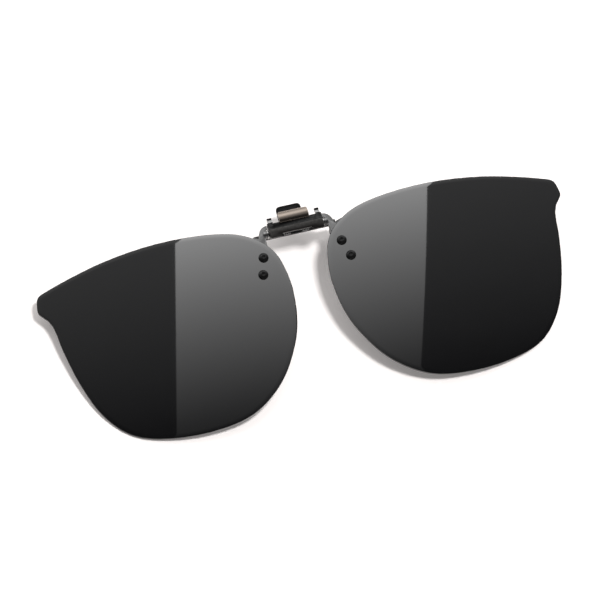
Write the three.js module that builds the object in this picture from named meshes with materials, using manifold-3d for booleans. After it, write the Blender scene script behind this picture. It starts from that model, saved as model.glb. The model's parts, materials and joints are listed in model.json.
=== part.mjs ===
// Clip-on flip-up sun lenses: two rimless tinted lenses on a sprung clip that grips a pair of spectacles.
// Millimetres, +X to the wearer's left, -Y to the front, +Z up. The origin is where the claws grip.
import * as THREE from 'three';
import { mergeVertices } from 'three/addons/utils/BufferGeometryUtils.js';
import Module from 'manifold-3d';

// ---- Driving dimensions ----
const GRIP = { y: 8.0, z: -7.6 };            // where the claw tips meet, in the working frame below

const LENS_THICKNESS = 0.8;
const LENS_RADIUS = 220;                      // base curve of the lens front
const LENS_WRAP = THREE.MathUtils.degToRad(2);
const LENS_CENTRE = { x: 36, z: -22 };
const LENS_RINGS = [0.3, 0.6, 0.85, 1];

const RIVETS = [{ name: 'upper', x: 10.5, z: -5.6 }, { name: 'lower', x: 11.75, z: -10.15 }];
const RIVET_HEAD_R = 1.3;
const RIVET_SHANK_R = 0.6;
const RIVET_HOLE_R = 0.66;

const BRACKET_THICKNESS = 0.8;
const SEAT_GAP = 0.15;                        // daylight between a lens and its bracket

const PIN = { y: 4.8, z: 1.05, r: 0.5 };
const PIN_HOLE_R = 0.56;
const EYE = { inner: 7.7, outer: 8.6, r: 1.05, floor: 0.2 };

const CHANNEL = { half: 7.2, front: 2.95, top: 3.35, bottom: 0, back: 5.2, wall: 0.45, bend: 0.6 };
const CHEEK = { inner: 6.6, bottom: -0.3, corner: 5.4, back: 7.3, backBottom: 0.6, backTop: 2.0 };
const EAR = { x: 6.3, width: 1.2, thickness: 0.5, top: 4.85, set: 0.5 };
const COVER = { half: 7.15, front: 2.35, thickness: 0.5, bottom: -0.9, top: 1.5, notch: 3.9, notchZ: -0.15 };
const TAB = { half: 3.95, bottom: 2.75, top: 5.7, front: 1.95, thickness: 0.5, corner: 0.8 };

const LEVER = { front: 8.4, thickness: 0.6, bottom: 0.85, shoulder: 2.4, half: 6.3, tabHalf: 3.3, top: 8.9 };
const LEVER_CHEEK = { inner: 5.7, outer: 6.3, boss: 1.0 };
const PAD_THICKNESS = 0.7;

const CLAW = { inner: 9.4, outer: 10.9, thickness: 0.6, front: 6.6, tip: -8.9 };
const CLAW_BAR = { front: 7.35, bottom: 0.6, top: 2.0 };
const SLEEVE = { wall: 0.45, clearance: 0.05, top: -5.4, bottom: -9.5 };

const COIL = { x: 2.4, r: 1.02, wire: 0.2, pitch: 0.46, turns: 4.25 };
// The spring's legs take the first and last share of its wire: front and rear are where they meet the coil.
const COIL_LEG = { drop: 0.6, front: 0.08, rear: 0.8 };

const ROUND = 24;                             // sides of a small round piece

// ---- Finishes ----
const finish = (color, roughness, metalness) => new THREE.MeshStandardMaterial(
  { color, roughness, metalness });
const TINT = finish(0x1b1c1e, 0.08, 0);
const BLACK_METAL = finish(0x1a1a1b, 0.35, 0.9);
const GREY_METAL = finish(0x4a4a4b, 0.4, 0.9);
const BRONZE = finish(0x776b60, 0.28, 1);
const STEEL = finish(0xb9bbbd, 0.25, 1);
const RUBBER = finish(0x121212, 0.8, 0);

// ---- Solid tools ----
const wasm = await Module();
wasm.setup();

// A closed geometry as a solid that can be joined and cut.
function solid(geometry) {
  const bare = geometry.index ? geometry.toNonIndexed() : geometry.clone();
  bare.deleteAttribute('normal');
  bare.deleteAttribute('uv');
  const merged = mergeVertices(bare, 1e-4);
  return new wasm.Manifold(new wasm.Mesh({
    numProp: 3,
    vertProperties: new Float32Array(merged.attributes.position.array),
    triVerts: new Uint32Array(merged.index.array),
  }));
}

function geometryOf(body) {
  const mesh = body.getMesh();
  const geometry = new THREE.BufferGeometry();
  geometry.setAttribute('position', new THREE.BufferAttribute(new Float32Array(mesh.vertProperties), 3));
  geometry.setIndex(new THREE.BufferAttribute(new Uint32Array(mesh.triVerts), 1));
  geometry.computeVertexNormals();
  return geometry;
}

function cut(geometry, ...tools) {
  return geometryOf(tools.reduce((body, tool) => body.subtract(solid(tool)), solid(geometry)));
}

function join(first, ...rest) {
  return geometryOf(rest.reduce((body, next) => body.add(solid(next)), solid(first)));
}

const common = (a, b) => geometryOf(solid(a).intersect(solid(b)));

// ---- Shape tools ----
function outline(points) {
  return new THREE.Shape(points.map(([a, b]) => new THREE.Vector2(a, b)));
}

// A flat plate: a shape in X and Z, `depth` thick from `front` towards the back.
function plate(shape, front, depth, curveSegments = 6) {
  const geometry = new THREE.ExtrudeGeometry(shape, { depth, bevelEnabled: false, curveSegments });
  return geometry.rotateX(Math.PI / 2).translate(0, front + depth, 0);
}

// A bar with a profile in Y and Z, from x0 to x1.
function bar(shape, x0, x1, curveSegments = 6) {
  const geometry = new THREE.ExtrudeGeometry(shape, { depth: x1 - x0, bevelEnabled: false, curveSegments });
  const axes = new THREE.Matrix4().makeBasis(
    new THREE.Vector3(0, 1, 0), new THREE.Vector3(0, 0, 1), new THREE.Vector3(1, 0, 0));
  return geometry.applyMatrix4(axes).translate(x0, 0, 0);
}

const box = (x0, x1, y0, y1, z0, z1) => new THREE.BoxGeometry(x1 - x0, y1 - y0, z1 - z0)
  .translate((x0 + x1) / 2, (y0 + y1) / 2, (z0 + z1) / 2);

// A round bar along X on the hinge axis.
const onPin = (radius, x0, x1, sides = ROUND) => new THREE.CylinderGeometry(radius, radius, x1 - x0, sides)
  .rotateZ(-Math.PI / 2).translate((x0 + x1) / 2, PIN.y, PIN.z);

// A turned piece: the profile lists radius and height along +Y.
const turned = (profile, sides = ROUND) => new THREE.LatheGeometry(
  profile.map(([r, h]) => new THREE.Vector2(r, h)), sides);

// A strip of even thickness along a curve through points in Y and Z.
function strip(points, thickness, steps) {
  const knots = points.map(([y, z]) => new THREE.Vector3(y, z, 0));
  const curve = new THREE.CatmullRomCurve3(knots, false, 'centripetal');
  const left = [];
  const right = [];
  for (let i = 0; i <= steps; i += 1) {
    const p = curve.getPointAt(i / steps);
    const t = curve.getTangentAt(i / steps);
    left.push([p.x - t.y * thickness / 2, p.y + t.x * thickness / 2]);
    right.unshift([p.x + t.y * thickness / 2, p.y - t.x * thickness / 2]);
  }
  return outline([...left, ...right]);
}

// A geometry reflected in the mid-plane, with its faces turned to point out again.
function mirrored(geometry) {
  const copy = geometry.index ? geometry.toNonIndexed() : geometry.clone();
  copy.scale(-1, 1, 1);
  const p = copy.attributes.position.array;
  for (let i = 0; i < p.length; i += 9) {
    for (let k = 0; k < 3; k += 1) {
      const keep = p[i + 3 + k];
      p[i + 3 + k] = p[i + 6 + k];
      p[i + 6 + k] = keep;
    }
  }
  copy.deleteAttribute('normal');
  copy.deleteAttribute('uv');
  const merged = mergeVertices(copy, 1e-4);
  merged.computeVertexNormals();
  return merged;
}

const clip = new THREE.Group();
clip.position.set(0, -GRIP.y, -GRIP.z);

function add(name, geometry, material) {
  const mesh = new THREE.Mesh(geometry, material);
  mesh.name = name;
  clip.add(mesh);
}

// Left is -X and right is +X: pieces are drawn on the right and reflected.
function addPair(name, geometry, material) {
  add(`${name}_right`, geometry, material);
  add(`${name}_left`, mirrored(geometry), material);
}

// ---- Lenses ----
// Front surface of the right lens: a slight wrap angle plus a shallow bowl about the lens centre.
function lensFront(x, z) {
  const bowl = ((x - LENS_CENTRE.x) ** 2 + (z - LENS_CENTRE.z) ** 2) / (2 * LENS_RADIUS);
  return x * Math.tan(LENS_WRAP) + bowl;
}

// Outline of the right lens: nose side, arched top, pointed outer corner and round lower edge.
function lensOutline() {
  const shape = new THREE.Shape();
  shape.moveTo(5.1, -15);
  shape.splineThru([
    [5.5, -10.5], [6.9, -5.0], [10.2, -0.8], [16.3, 2.6], [26, 4.3], [38, 4.6], [50, 3.4], [60, 1.3],
    [68, -0.9],
  ].map(([x, z]) => new THREE.Vector2(x, z)));
  shape.quadraticCurveTo(69.2, -1.3, 69.5, -2.6);
  shape.lineTo(69.9, -5.0);
  shape.quadraticCurveTo(70.0, -6.1, 69.0, -6.9);
  shape.quadraticCurveTo(66.9, -8.8, 66.6, -12.6);
  shape.splineThru([
    [66.0, -17.5], [63.9, -27], [60.3, -36.2], [54.3, -43.1], [45.5, -46.3], [34, -47.2], [23.2, -45.3],
    [14.2, -38.9], [8.4, -30], [5.9, -22.5], [5.1, -15],
  ].map(([x, z]) => new THREE.Vector2(x, z)));
  return shape;
}

function rivetNormal(x, z) {
  const slope = 0.5;
  const dx = (lensFront(x + slope, z) - lensFront(x - slope, z)) / (2 * slope);
  const dz = (lensFront(x, z + slope) - lensFront(x, z - slope)) / (2 * slope);
  return new THREE.Vector3(dx, -1, dz).normalize();
}

// Puts a piece turned about +Y on the lens front at a rivet, with +Y pointing out of the front.
function atRivet(geometry, rivet) {
  const out = rivetNormal(rivet.x, rivet.z);
  const turn = new THREE.Quaternion().setFromUnitVectors(new THREE.Vector3(0, 1, 0), out);
  return geometry.applyQuaternion(turn).translate(rivet.x, lensFront(rivet.x, rivet.z), rivet.z);
}

const rivetHole = (rivet) => atRivet(new THREE.CylinderGeometry(RIVET_HOLE_R, RIVET_HOLE_R, 8, ROUND), rivet);

// The lens is a fan of rings between its centre and its outline, front and back, closed by a rim.
function lens() {
  const rim = lensOutline().getPoints(3);
  rim.pop();
  if (THREE.ShapeUtils.isClockWise(rim)) {
    rim.reverse();
  }
  const count = rim.length;
  const positions = [];
  const index = [];
  const face = (depth) => {
    const start = positions.length / 3;
    positions.push(LENS_CENTRE.x, lensFront(LENS_CENTRE.x, LENS_CENTRE.z) + depth, LENS_CENTRE.z);
    for (const ring of LENS_RINGS) {
      for (const point of rim) {
        const x = LENS_CENTRE.x + (point.x - LENS_CENTRE.x) * ring;
        const z = LENS_CENTRE.z + (point.y - LENS_CENTRE.z) * ring;
        positions.push(x, lensFront(x, z) + depth, z);
      }
    }
    return start;
  };
  const fan = (start, flip) => {
    const triangle = (a, b, c) => index.push(start + a, start + (flip ? c : b), start + (flip ? b : c));
    for (let i = 0; i < count; i += 1) {
      const j = (i + 1) % count;
      triangle(0, 1 + i, 1 + j);
      for (let r = 1; r < LENS_RINGS.length; r += 1) {
        const inner = 1 + (r - 1) * count;
        const outer = 1 + r * count;
        triangle(inner + i, outer + i, outer + j);
        triangle(inner + i, outer + j, inner + j);
      }
    }
  };
  const front = face(0);
  const back = face(LENS_THICKNESS);
  fan(front, false);
  fan(back, true);
  const edge = 1 + (LENS_RINGS.length - 1) * count;
  for (let i = 0; i < count; i += 1) {
    const j = (i + 1) % count;
    index.push(front + edge + i, back + edge + i, back + edge + j);
    index.push(front + edge + i, back + edge + j, front + edge + j);
  }
  const geometry = new THREE.BufferGeometry();
  geometry.setAttribute('position', new THREE.Float32BufferAttribute(positions, 3));
  geometry.setIndex(index);
  return cut(geometry, ...RIVETS.map(rivetHole));
}

// ---- Lens brackets: an arm that curves out and down from the hinge eye to a plate behind the lens ----
function bracket() {
  const foot = RIVETS[1];
  const footR = 1.9;
  const shape = new THREE.Shape();
  const root = CHANNEL.half + 0.15;
  shape.moveTo(root, 2.45);
  shape.quadraticCurveTo(8.3, 2.3, 8.35, 0.9);
  shape.quadraticCurveTo(8.4, -2.6, 8.7, -5.2);
  shape.lineTo(9.9, -10.5);
  shape.absarc(foot.x, foot.z, footR, Math.PI + 0.15, -0.2, false);
  shape.lineTo(13.0, -4.6);
  shape.quadraticCurveTo(12.9, -1.6, 13.9, 0.2);
  shape.lineTo(13.3, 0.95);
  shape.quadraticCurveTo(11.6, 0.9, 10.1, 0.15);
  shape.quadraticCurveTo(9.65, 3.15, root, 3.45);
  const depth = BRACKET_THICKNESS;
  const flat = new THREE.ExtrudeGeometry(shape, { depth, bevelEnabled: false, curveSegments: 5 });
  flat.rotateX(Math.PI / 2).translate(0, depth, 0);
  const p = flat.attributes.position;
  for (let i = 0; i < p.count; i += 1) {
    const seat = lensFront(p.getX(i), p.getZ(i)) + LENS_THICKNESS + SEAT_GAP;
    p.setY(i, p.getY(i) + seat);
  }
  const withEye = join(flat, onPin(EYE.r, EYE.inner, EYE.outer));
  return cut(withEye, onPin(PIN_HOLE_R, EYE.inner - 1, EYE.outer - EYE.floor), ...RIVETS.map(rivetHole));
}

// Rivet: low domed head with a shallow dimple and a shank that runs through lens and bracket.
function rivet(place) {
  const head = 0.05;
  const tail = 0.75;
  const shankEnd = -(LENS_THICKNESS + SEAT_GAP + BRACKET_THICKNESS + tail);
  return atRivet(turned([
    [0, shankEnd], [RIVET_SHANK_R, shankEnd], [RIVET_SHANK_R, head], [RIVET_HEAD_R, head],
    [RIVET_HEAD_R, 0.22], [1.12, 0.48], [0.75, 0.68], [0.42, 0.74], [0.3, 0.6], [0, 0.6],
  ]), place);
}

// Lock washer pressed on the rivet's tail behind the bracket.
function rivetWasher(place) {
  const gap = 0.12;
  const top = -(LENS_THICKNESS + SEAT_GAP + BRACKET_THICKNESS + gap);
  const bottom = top - 0.5;
  return atRivet(turned([
    [RIVET_HOLE_R, bottom], [1.15, bottom], [1.25, bottom + 0.14], [1.25, top], [RIVET_HOLE_R, top],
    [RIVET_HOLE_R, bottom],
  ]), place);
}

// ---- Clip base: a folded channel that carries the hinge pin ----
function channel() {
  const { half, front, top, bottom, back, wall, bend } = CHANNEL;
  const fold = new THREE.Shape();
  fold.moveTo(front, bottom);
  fold.lineTo(front + wall, bottom);
  fold.lineTo(front + wall, top - wall);
  fold.lineTo(back, top - wall);
  fold.lineTo(back, top);
  fold.lineTo(front + bend, top);
  fold.quadraticCurveTo(front, top, front, top - bend);
  const cheek = outline([
    [front, CHEEK.bottom], [CHEEK.corner, CHEEK.bottom], [CHEEK.back, CHEEK.backBottom],
    [CHEEK.back, CHEEK.backTop], [CHEEK.corner, top], [front, top],
  ]);
  const root = front + EAR.thickness / 2;
  const ear = strip([
    [root, top - 1], [root, top + 0.15], [root + EAR.set, top + 0.75], [root + EAR.set, EAR.top],
  ], EAR.thickness, 12);
  const pieces = [];
  for (const side of [-1, 1]) {
    const inner = Math.min(side * CHEEK.inner, side * half);
    pieces.push(bar(cheek, inner, inner + half - CHEEK.inner));
    pieces.push(bar(ear, side * EAR.x - EAR.width / 2, side * EAR.x + EAR.width / 2));
  }
  const body = join(bar(fold, -half, half), ...pieces);
  return cut(body, onPin(PIN_HOLE_R, -half - 1, half + 1));
}

// Cover plate over the channel's front, relieved below the springs.
function cover() {
  const c = COVER;
  const chamfer = 0.3;
  return plate(outline([
    [-c.half, c.bottom + chamfer], [-c.half + chamfer, c.bottom], [-c.notch - chamfer, c.bottom],
    [-c.notch, c.notchZ], [c.notch, c.notchZ], [c.notch + chamfer, c.bottom], [c.half - chamfer, c.bottom],
    [c.half, c.bottom + chamfer], [c.half, c.top - chamfer], [c.half - chamfer, c.top],
    [-c.half + chamfer, c.top], [-c.half, c.top - chamfer],
  ]), c.front, c.thickness);
}

// Front thumb tab: a convex plate whose lower edge is welded to the channel's front.
function frontTab() {
  const { half, bottom, top, front, thickness, corner } = TAB;
  const weld = 0.03;
  const foot = CHANNEL.front - weld - thickness / 2;
  const bulge = front + thickness / 2;
  const height = top - bottom;
  const profile = strip([
    [foot, bottom], [foot - 0.06, bottom + 0.12 * height], [bulge + 0.1, bottom + 0.32 * height],
    [bulge, bottom + 0.53 * height], [bulge + 0.15, bottom + 0.75 * height], [foot + 0.17, top],
  ], thickness, 16);
  const face = new THREE.Shape();
  face.moveTo(-half, bottom - 1);
  face.lineTo(half, bottom - 1);
  face.lineTo(half, top - corner);
  face.quadraticCurveTo(half, top, half - corner, top);
  face.lineTo(-half + corner, top);
  face.quadraticCurveTo(-half, top, -half, top - corner);
  return common(bar(profile, -half, half), plate(face, 0, 10, 4));
}

// Depth of the claw finger's front face: it leans forward from the bar to the tip.
function fingerFront(z) {
  const share = (CLAW_BAR.top - z) / (CLAW_BAR.top - CLAW.tip);
  return THREE.MathUtils.lerp(CLAW_BAR.front, CLAW.front, share);
}

// A piece that follows the finger between two heights, `grow` larger than it on each side.
function alongFinger(top, bottom, grow) {
  const back = CLAW.thickness + grow;
  return bar(outline([
    [fingerFront(top) - grow, top], [fingerFront(bottom) - grow, bottom],
    [fingerFront(bottom) + back, bottom], [fingerFront(top) + back, top],
  ]), CLAW.inner - grow, CLAW.outer + grow);
}

// Claw: a bar welded to the back of the channel's cheek, and a finger down to the tip.
function frontClaw() {
  const back = CLAW_BAR.front + CLAW.thickness;
  const arm = box(CHEEK.inner, CLAW.outer, CLAW_BAR.front, back, CLAW_BAR.bottom, CLAW_BAR.top);
  return join(arm, alongFinger(CLAW_BAR.top, CLAW.tip, 0));
}

// Soft sleeve pushed over a claw's end, closed at the tip.
function frontSleeve() {
  const { wall, clearance, top, bottom } = SLEEVE;
  const pocket = alongFinger(top + 1, CLAW.tip - clearance, clearance);
  return cut(alongFinger(top, bottom, wall + clearance), pocket);
}

// ---- Sprung lever: rear thumb plate with two cheeks on the pin and a hooked claw at each end ----
function leverPlate() {
  const l = LEVER;
  const corner = 1.2;
  const nick = 0.4;
  const face = new THREE.Shape();
  face.moveTo(-l.half, l.bottom);
  face.lineTo(l.half, l.bottom);
  face.lineTo(l.half, l.shoulder - nick);
  face.lineTo(l.half - nick, l.shoulder);
  face.lineTo(l.tabHalf, l.shoulder);
  face.lineTo(l.tabHalf, l.top - corner);
  face.quadraticCurveTo(l.tabHalf, l.top, l.tabHalf - corner, l.top);
  face.lineTo(-l.tabHalf + corner, l.top);
  face.quadraticCurveTo(-l.tabHalf, l.top, -l.tabHalf, l.top - corner);
  face.lineTo(-l.tabHalf, l.shoulder);
  face.lineTo(-l.half + nick, l.shoulder);
  face.lineTo(-l.half, l.shoulder - nick);
  const boss = LEVER_CHEEK.boss;
  const strap = new THREE.Shape();
  strap.moveTo(PIN.y, PIN.z + boss);
  strap.absarc(PIN.y, PIN.z, boss, Math.PI / 2, 3 * Math.PI / 2, false);
  strap.lineTo(l.front + 0.2, l.bottom);
  strap.lineTo(l.front + 0.2, l.bottom + 1.1);
  const cheeks = [
    bar(strap, LEVER_CHEEK.inner, LEVER_CHEEK.outer),
    bar(strap, -LEVER_CHEEK.outer, -LEVER_CHEEK.inner),
  ];
  const body = join(plate(face, l.front, l.thickness), ...cheeks);
  return cut(body, onPin(PIN_HOLE_R, -CHANNEL.half, CHANNEL.half));
}

// Soft pad on the back of the rear thumb plate, where the finger presses.
function thumbPad() {
  const half = LEVER.tabHalf - 0.15;
  const corner = 1.1;
  const bottom = LEVER.shoulder + 0.6;
  const top = LEVER.top + 0.1;
  const shape = new THREE.Shape();
  shape.moveTo(-half + 0.4, bottom);
  shape.lineTo(half - 0.4, bottom);
  shape.quadraticCurveTo(half, bottom, half, bottom + 0.4);
  shape.lineTo(half, top - corner);
  shape.quadraticCurveTo(half, top, half - corner, top);
  shape.lineTo(-half + corner, top);
  shape.quadraticCurveTo(-half, top, -half, top - corner);
  shape.lineTo(-half, bottom + 0.4);
  shape.quadraticCurveTo(-half, bottom, -half + 0.4, bottom);
  return plate(shape, LEVER.front + LEVER.thickness + 0.05, PAD_THICKNESS);
}

// Centre line of the rear claw, in Y and Z, from the lever plate round the spectacle rim to the tip.
const HOOK = [[8.9, 1.3], [10.6, 1.15], [12.4, 0.0], [12.75, -2.4], [12.3, -5.2], [10.6, -7.4], [8.9, -8.7]];
const SLEEVE_START = 0.66;

function hookCurve() {
  return new THREE.CatmullRomCurve3(HOOK.map(([y, z]) => new THREE.Vector3(y, z, 0)), false, 'centripetal');
}

function hookPart(from, to, thickness, steps) {
  const curve = hookCurve();
  const points = [];
  for (let i = 0; i <= steps; i += 1) {
    const p = curve.getPointAt(from + (to - from) * i / steps);
    points.push([p.x, p.y]);
  }
  return strip(points, thickness, steps);
}

function rearClaw() {
  const hook = bar(hookPart(0, 1, CLAW.thickness, 16), CLAW.inner, CLAW.outer);
  const front = LEVER.front + 0.15;
  const arm = box(LEVER.half + 0.1, CLAW.outer, front, front + LEVER.thickness, 0.9, 2.2);
  return join(arm, hook);
}

function rearSleeve() {
  const grow = SLEEVE.wall + SLEEVE.clearance;
  const outer = bar(hookPart(SLEEVE_START, 1, CLAW.thickness + 2 * grow, 8),
    CLAW.inner - grow, CLAW.outer + grow);
  const pocket = bar(hookPart(SLEEVE_START - 0.04, 1, CLAW.thickness + 2 * SLEEVE.clearance, 9),
    CLAW.inner - SLEEVE.clearance, CLAW.outer + SLEEVE.clearance);
  return cut(outer, pocket);
}

// ---- Pin and springs ----
// The pin is staked into both bracket eyes, so it turns with the lenses and ties them together.
function hingePin() {
  const end = EYE.outer - EYE.floor - 0.05;
  return onPin(PIN.r, -end, end);
}

const ring = (outer, x0, x1) => cut(onPin(outer, x0, x1), onPin(PIN_HOLE_R, x0 - 1, x1 + 1));

// Torsion spring: close turns round the pin, one leg down the channel's front, one back to the thumb plate.
class SpringWire extends THREE.Curve {
  getPoint(t) {
    const { front, rear, drop } = COIL_LEG;
    const width = COIL.pitch * COIL.turns;
    const u = THREE.MathUtils.clamp((t - front) / (rear - front), 0, 1);
    const angle = Math.PI - COIL.turns * 2 * Math.PI * u;
    const point = new THREE.Vector3(
      width * (u - 0.5), PIN.y + COIL.r * Math.cos(angle), PIN.z + COIL.r * Math.sin(angle));
    if (t < front) {
      point.z -= (1 - t / front) * drop;
    }
    if (t > rear) {
      point.y += (t - rear) / (1 - rear) * (LEVER.front - COIL.wire - 0.1 - PIN.y);
    }
    return point;
  }
}

function torsionSpring() {
  const section = new THREE.Shape();
  section.absarc(0, 0, COIL.wire, 0, 2 * Math.PI, false);
  const geometry = new THREE.ExtrudeGeometry(section, {
    steps: 60, extrudePath: new SpringWire(), curveSegments: 3, bevelEnabled: false,
  });
  return geometryOf(solid(geometry.translate(COIL.x, 0, 0)));
}

// ---- Assembly ----
addPair('lens', lens(), TINT);
addPair('lens_bracket', bracket(), GREY_METAL);
for (const place of RIVETS) {
  addPair(`rivet_${place.name}`, rivet(place), BLACK_METAL);
  addPair(`rivet_washer_${place.name}`, rivetWasher(place), STEEL);
}
add('hinge_channel', channel(), BLACK_METAL);
add('front_cover', cover(), GREY_METAL);
add('front_thumb_tab', frontTab(), BRONZE);
addPair('front_claw', frontClaw(), BLACK_METAL);
addPair('front_sleeve', frontSleeve(), RUBBER);
add('hinge_pin', hingePin(), STEEL);
addPair('friction_washer', ring(1.1, CHANNEL.half + 0.06, EYE.inner - 0.06), STEEL);
addPair('torsion_spring', torsionSpring(), STEEL);
add('lever_plate', leverPlate(), BLACK_METAL);
add('thumb_pad', thumbPad(), RUBBER);
addPair('rear_claw', rearClaw(), BLACK_METAL);
addPair('rear_sleeve', rearSleeve(), RUBBER);

export default clip;
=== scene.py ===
"""Clip-on flip-up sun lenses: finished pieces, materials and a small studio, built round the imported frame.

Lengths in the code are metres; sizes are written in millimetres times MM. +X is across, -Y the front, +Z up.
"""
import json
import math

import bmesh
import bpy
import numpy as np
from bpy.props import FloatProperty, FloatVectorProperty, PointerProperty
from mathutils import Matrix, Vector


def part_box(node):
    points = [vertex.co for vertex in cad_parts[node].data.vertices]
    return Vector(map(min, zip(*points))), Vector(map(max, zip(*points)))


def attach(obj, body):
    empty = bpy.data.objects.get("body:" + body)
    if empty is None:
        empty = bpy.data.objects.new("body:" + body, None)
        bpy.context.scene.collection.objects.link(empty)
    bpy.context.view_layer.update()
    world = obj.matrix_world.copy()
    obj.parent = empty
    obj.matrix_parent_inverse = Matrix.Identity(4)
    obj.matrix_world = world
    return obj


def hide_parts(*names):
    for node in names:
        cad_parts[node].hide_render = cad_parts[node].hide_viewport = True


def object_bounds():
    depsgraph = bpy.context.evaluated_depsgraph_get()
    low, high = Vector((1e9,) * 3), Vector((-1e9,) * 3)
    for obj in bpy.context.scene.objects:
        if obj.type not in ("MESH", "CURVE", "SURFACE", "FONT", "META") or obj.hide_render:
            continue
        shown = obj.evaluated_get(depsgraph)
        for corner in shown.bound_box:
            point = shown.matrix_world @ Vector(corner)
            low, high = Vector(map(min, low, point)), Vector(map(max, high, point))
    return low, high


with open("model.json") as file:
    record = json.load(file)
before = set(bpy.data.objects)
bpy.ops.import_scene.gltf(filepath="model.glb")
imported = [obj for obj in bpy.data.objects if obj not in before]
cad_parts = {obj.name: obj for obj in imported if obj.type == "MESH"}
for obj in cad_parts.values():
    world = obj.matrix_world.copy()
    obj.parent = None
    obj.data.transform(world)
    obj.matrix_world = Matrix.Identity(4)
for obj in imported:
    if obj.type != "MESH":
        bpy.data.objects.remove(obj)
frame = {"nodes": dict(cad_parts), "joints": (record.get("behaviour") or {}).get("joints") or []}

bl_info = {
    "name": "Clip-on flip lenses",
    "version": (1, 0, 0),
    "blender": (4, 5, 0),
    "location": "View3D > Sidebar > Flip lenses",
    "description": "Builds the finished lenses, brackets, clip and studio round the packed frame",
    "category": "Add Mesh",
}

MM = 0.001
CAD_BOX = [list(corner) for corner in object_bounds()]
SIDES = {"left": -1.0, "right": 1.0}
JOINTS = {joint["name"]: joint for joint in frame["joints"]}
HINGE = np.array(JOINTS["lens_flip"]["pos_m"])
X_AXIS = np.array([1.0, 0.0, 0.0])
Z_AXIS = np.array([0.0, 0.0, 1.0])

# The lens front is a shallow bowl about its middle, on a plane that is wrapped back a little.
LENS_RADIUS = 220 * MM
LENS_WRAP = math.tan(math.radians(2))
LENS_THICKNESS = 0.8 * MM
LENS_X = 36 * MM
# The bowl's lowest point lies this far in front of the frame's origin.
LENS_BACK = 8.0 * MM
LENS_Z = -14.4 * MM


def node_box(name):
    """Lowest and highest corner of a CAD node as two arrays."""
    low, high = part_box(name)
    return np.array(low), np.array(high)


def node_centre(name):
    low, high = node_box(name)
    return (low + high) / 2


def unit(v):
    """Vectors scaled to length one along their last axis."""
    v = np.asarray(v, float)
    return v / np.linalg.norm(v, axis=-1, keepdims=True)


# ---------------------------------------------------------------- mesh tools

def grid_faces(rows, columns, closed=True):
    """Quads between neighbouring points of a grid; with closed, the last column joins the first."""
    last = columns if closed else columns - 1
    r, c = np.meshgrid(np.arange(rows - 1), np.arange(last), indexing="ij")
    n = (c + 1) % columns
    quads = np.stack([r * columns + c, r * columns + n, (r + 1) * columns + n, (r + 1) * columns + c], -1)
    return quads.reshape(-1, 4).tolist()


def make_piece(name, points, faces, material, body, replaces=()):
    """A smooth closed mesh from an array of points; doubled points are merged, faces turned outwards."""
    mesh = bpy.data.meshes.new(name)
    mesh.from_pydata(np.asarray(points).reshape(-1, 3).tolist(), [], faces)
    shell = bmesh.new()
    shell.from_mesh(mesh)
    bmesh.ops.remove_doubles(shell, verts=shell.verts, dist=1e-7)
    bmesh.ops.dissolve_degenerate(shell, edges=shell.edges, dist=1e-8)
    bmesh.ops.recalc_face_normals(shell, faces=shell.faces)
    shell.to_mesh(mesh)
    shell.free()
    mesh.polygons.foreach_set("use_smooth", np.ones(len(mesh.polygons), bool))
    piece = bpy.data.objects.new(name, mesh)
    bpy.context.scene.collection.objects.link(piece)
    mesh.materials.append(material)
    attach(piece, body)
    if replaces:
        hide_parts(*replaces)
    return piece


def sharpen(piece, degrees=35):
    """Edges that turn more than the angle stay crisp, the rest shade smooth."""
    piece.data.set_sharp_from_angle(angle=math.radians(degrees))


def revolve(profile, centre, axis, sides=64):
    """Point (i, j) is centre + axis*h_i + r_i*(cos a_j*u + sin a_j*v), with u and v square to the axis."""
    radius, height = np.array(profile, float).T
    axis = unit(axis)
    u = unit(np.cross(axis, Z_AXIS if abs(axis[2]) < 0.9 else X_AXIS))
    v = np.cross(axis, u)
    angle = np.linspace(0, 2 * np.pi, sides, endpoint=False)
    circle = np.cos(angle)[:, None] * u + np.sin(angle)[:, None] * v
    points = centre + height[:, None, None] * axis + radius[:, None, None] * circle
    return points, grid_faces(len(radius), sides)


def rounded_section(width, thickness, corner, steps=4):
    """Rounded rectangle as offsets (across, through), counter-clockwise, each corner a quarter circle."""
    a = np.linspace(0, np.pi / 2, steps + 1)
    turns = a + np.arange(4)[:, None] * np.pi / 2
    sign = np.array([[1, 1], [-1, 1], [-1, -1], [1, -1]])
    middle = sign * (np.array([width, thickness]) / 2 - corner)
    ring = middle[:, None] + corner * np.stack([np.cos(turns), np.sin(turns)], -1)
    return ring.reshape(-1, 2)


def smooth_path(points, count):
    """Centripetal curve through the points, resampled to even steps of its own length."""
    p = np.asarray(points, float)
    p = np.vstack([2 * p[0] - p[1], p, 2 * p[-1] - p[-2]])
    t = np.linspace(0, len(p) - 3, 40 * (len(p) - 3) + 1)
    i = np.minimum(t.astype(int), len(p) - 4)
    f = (t - i)[:, None]
    a, b, c, d = p[i], p[i + 1], p[i + 2], p[i + 3]
    dense = 0.5 * (2 * b + (c - a) * f + (2 * a - 5 * b + 4 * c - d) * f**2 + (3 * b - a - 3 * c + d) * f**3)
    length = np.concatenate([[0], np.cumsum(np.linalg.norm(np.diff(dense, axis=0), axis=1))])
    even = np.linspace(0, length[-1], count)
    return np.stack([np.interp(even, length, dense[:, k]) for k in range(p.shape[1])], -1)


def round_ends(count, reach, start=True, end=True):
    """Scale of each ring along a bar, falling as a quarter circle over `reach` of its length at the ends."""
    s = np.linspace(0, 1, count)
    scale = np.ones(count)
    if start:
        scale = np.minimum(scale, np.sqrt(np.clip(1 - (1 - np.clip(s / reach, 0, 1)) ** 2, 0, 1)))
    if end:
        scale = np.minimum(scale, np.sqrt(np.clip(1 - (1 - np.clip((1 - s) / reach, 0, 1)) ** 2, 0, 1)))
    return np.maximum(scale, 1e-3)


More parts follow.
